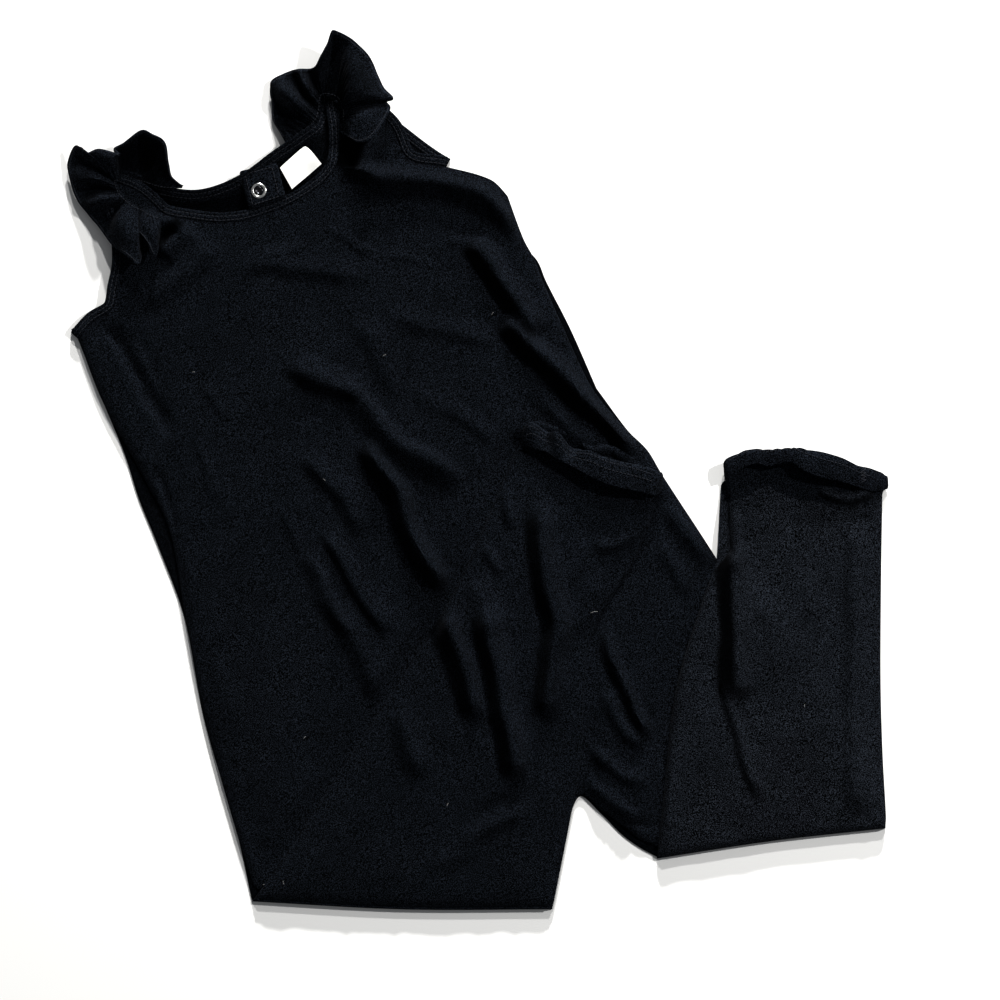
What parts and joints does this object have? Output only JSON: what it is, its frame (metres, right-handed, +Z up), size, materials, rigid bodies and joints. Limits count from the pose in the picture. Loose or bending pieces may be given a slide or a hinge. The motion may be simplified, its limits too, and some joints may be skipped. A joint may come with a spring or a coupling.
{
  "type": "jersey romper laid flat",
  "caption": "Sleeveless black jersey long-leg romper with gathered flutter shoulders, bound neck and armholes, laid flat with both legs folded up at the knee.",
  "frame": {"origin": "centre of the garment's laid outline, on the surface it lies on", "axes": "+Z up off the surface; +Y along the laid outline's longer side, towards the shoulders; +X to the right as the garment is seen from above, its front facing up"},
  "size_m": [0.5177, 0.5549, 0.0192],
  "materials": {
    "black_jersey": "matt brushed cotton jersey, near black, faintly speckled",
    "white_satin": "white woven satin tape, blank",
    "bright_steel": "bright nickel-plated snap"
  },
  "bodies": {
    "root": {"back": "black_jersey", "front": "black_jersey", "left_shin": "black_jersey", "left_shin_inner": "black_jersey", "right_shin": "black_jersey", "right_shin_inner": "black_jersey", "left_hem": "black_jersey", "right_hem": "black_jersey", "front_neck_binding": "black_jersey", "back_neck_binding": "black_jersey", "left_armhole_binding_front": "black_jersey", "left_armhole_binding_back": "black_jersey", "right_armhole_binding_front": "black_jersey", "right_armhole_binding_back": "black_jersey", "left_ruffle": "black_jersey", "right_ruffle": "black_jersey", "placket_tab": "black_jersey", "label": "white_satin", "snap_ring": "bright_steel", "snap_cap": "bright_steel"}
  },
  "joints": []
}
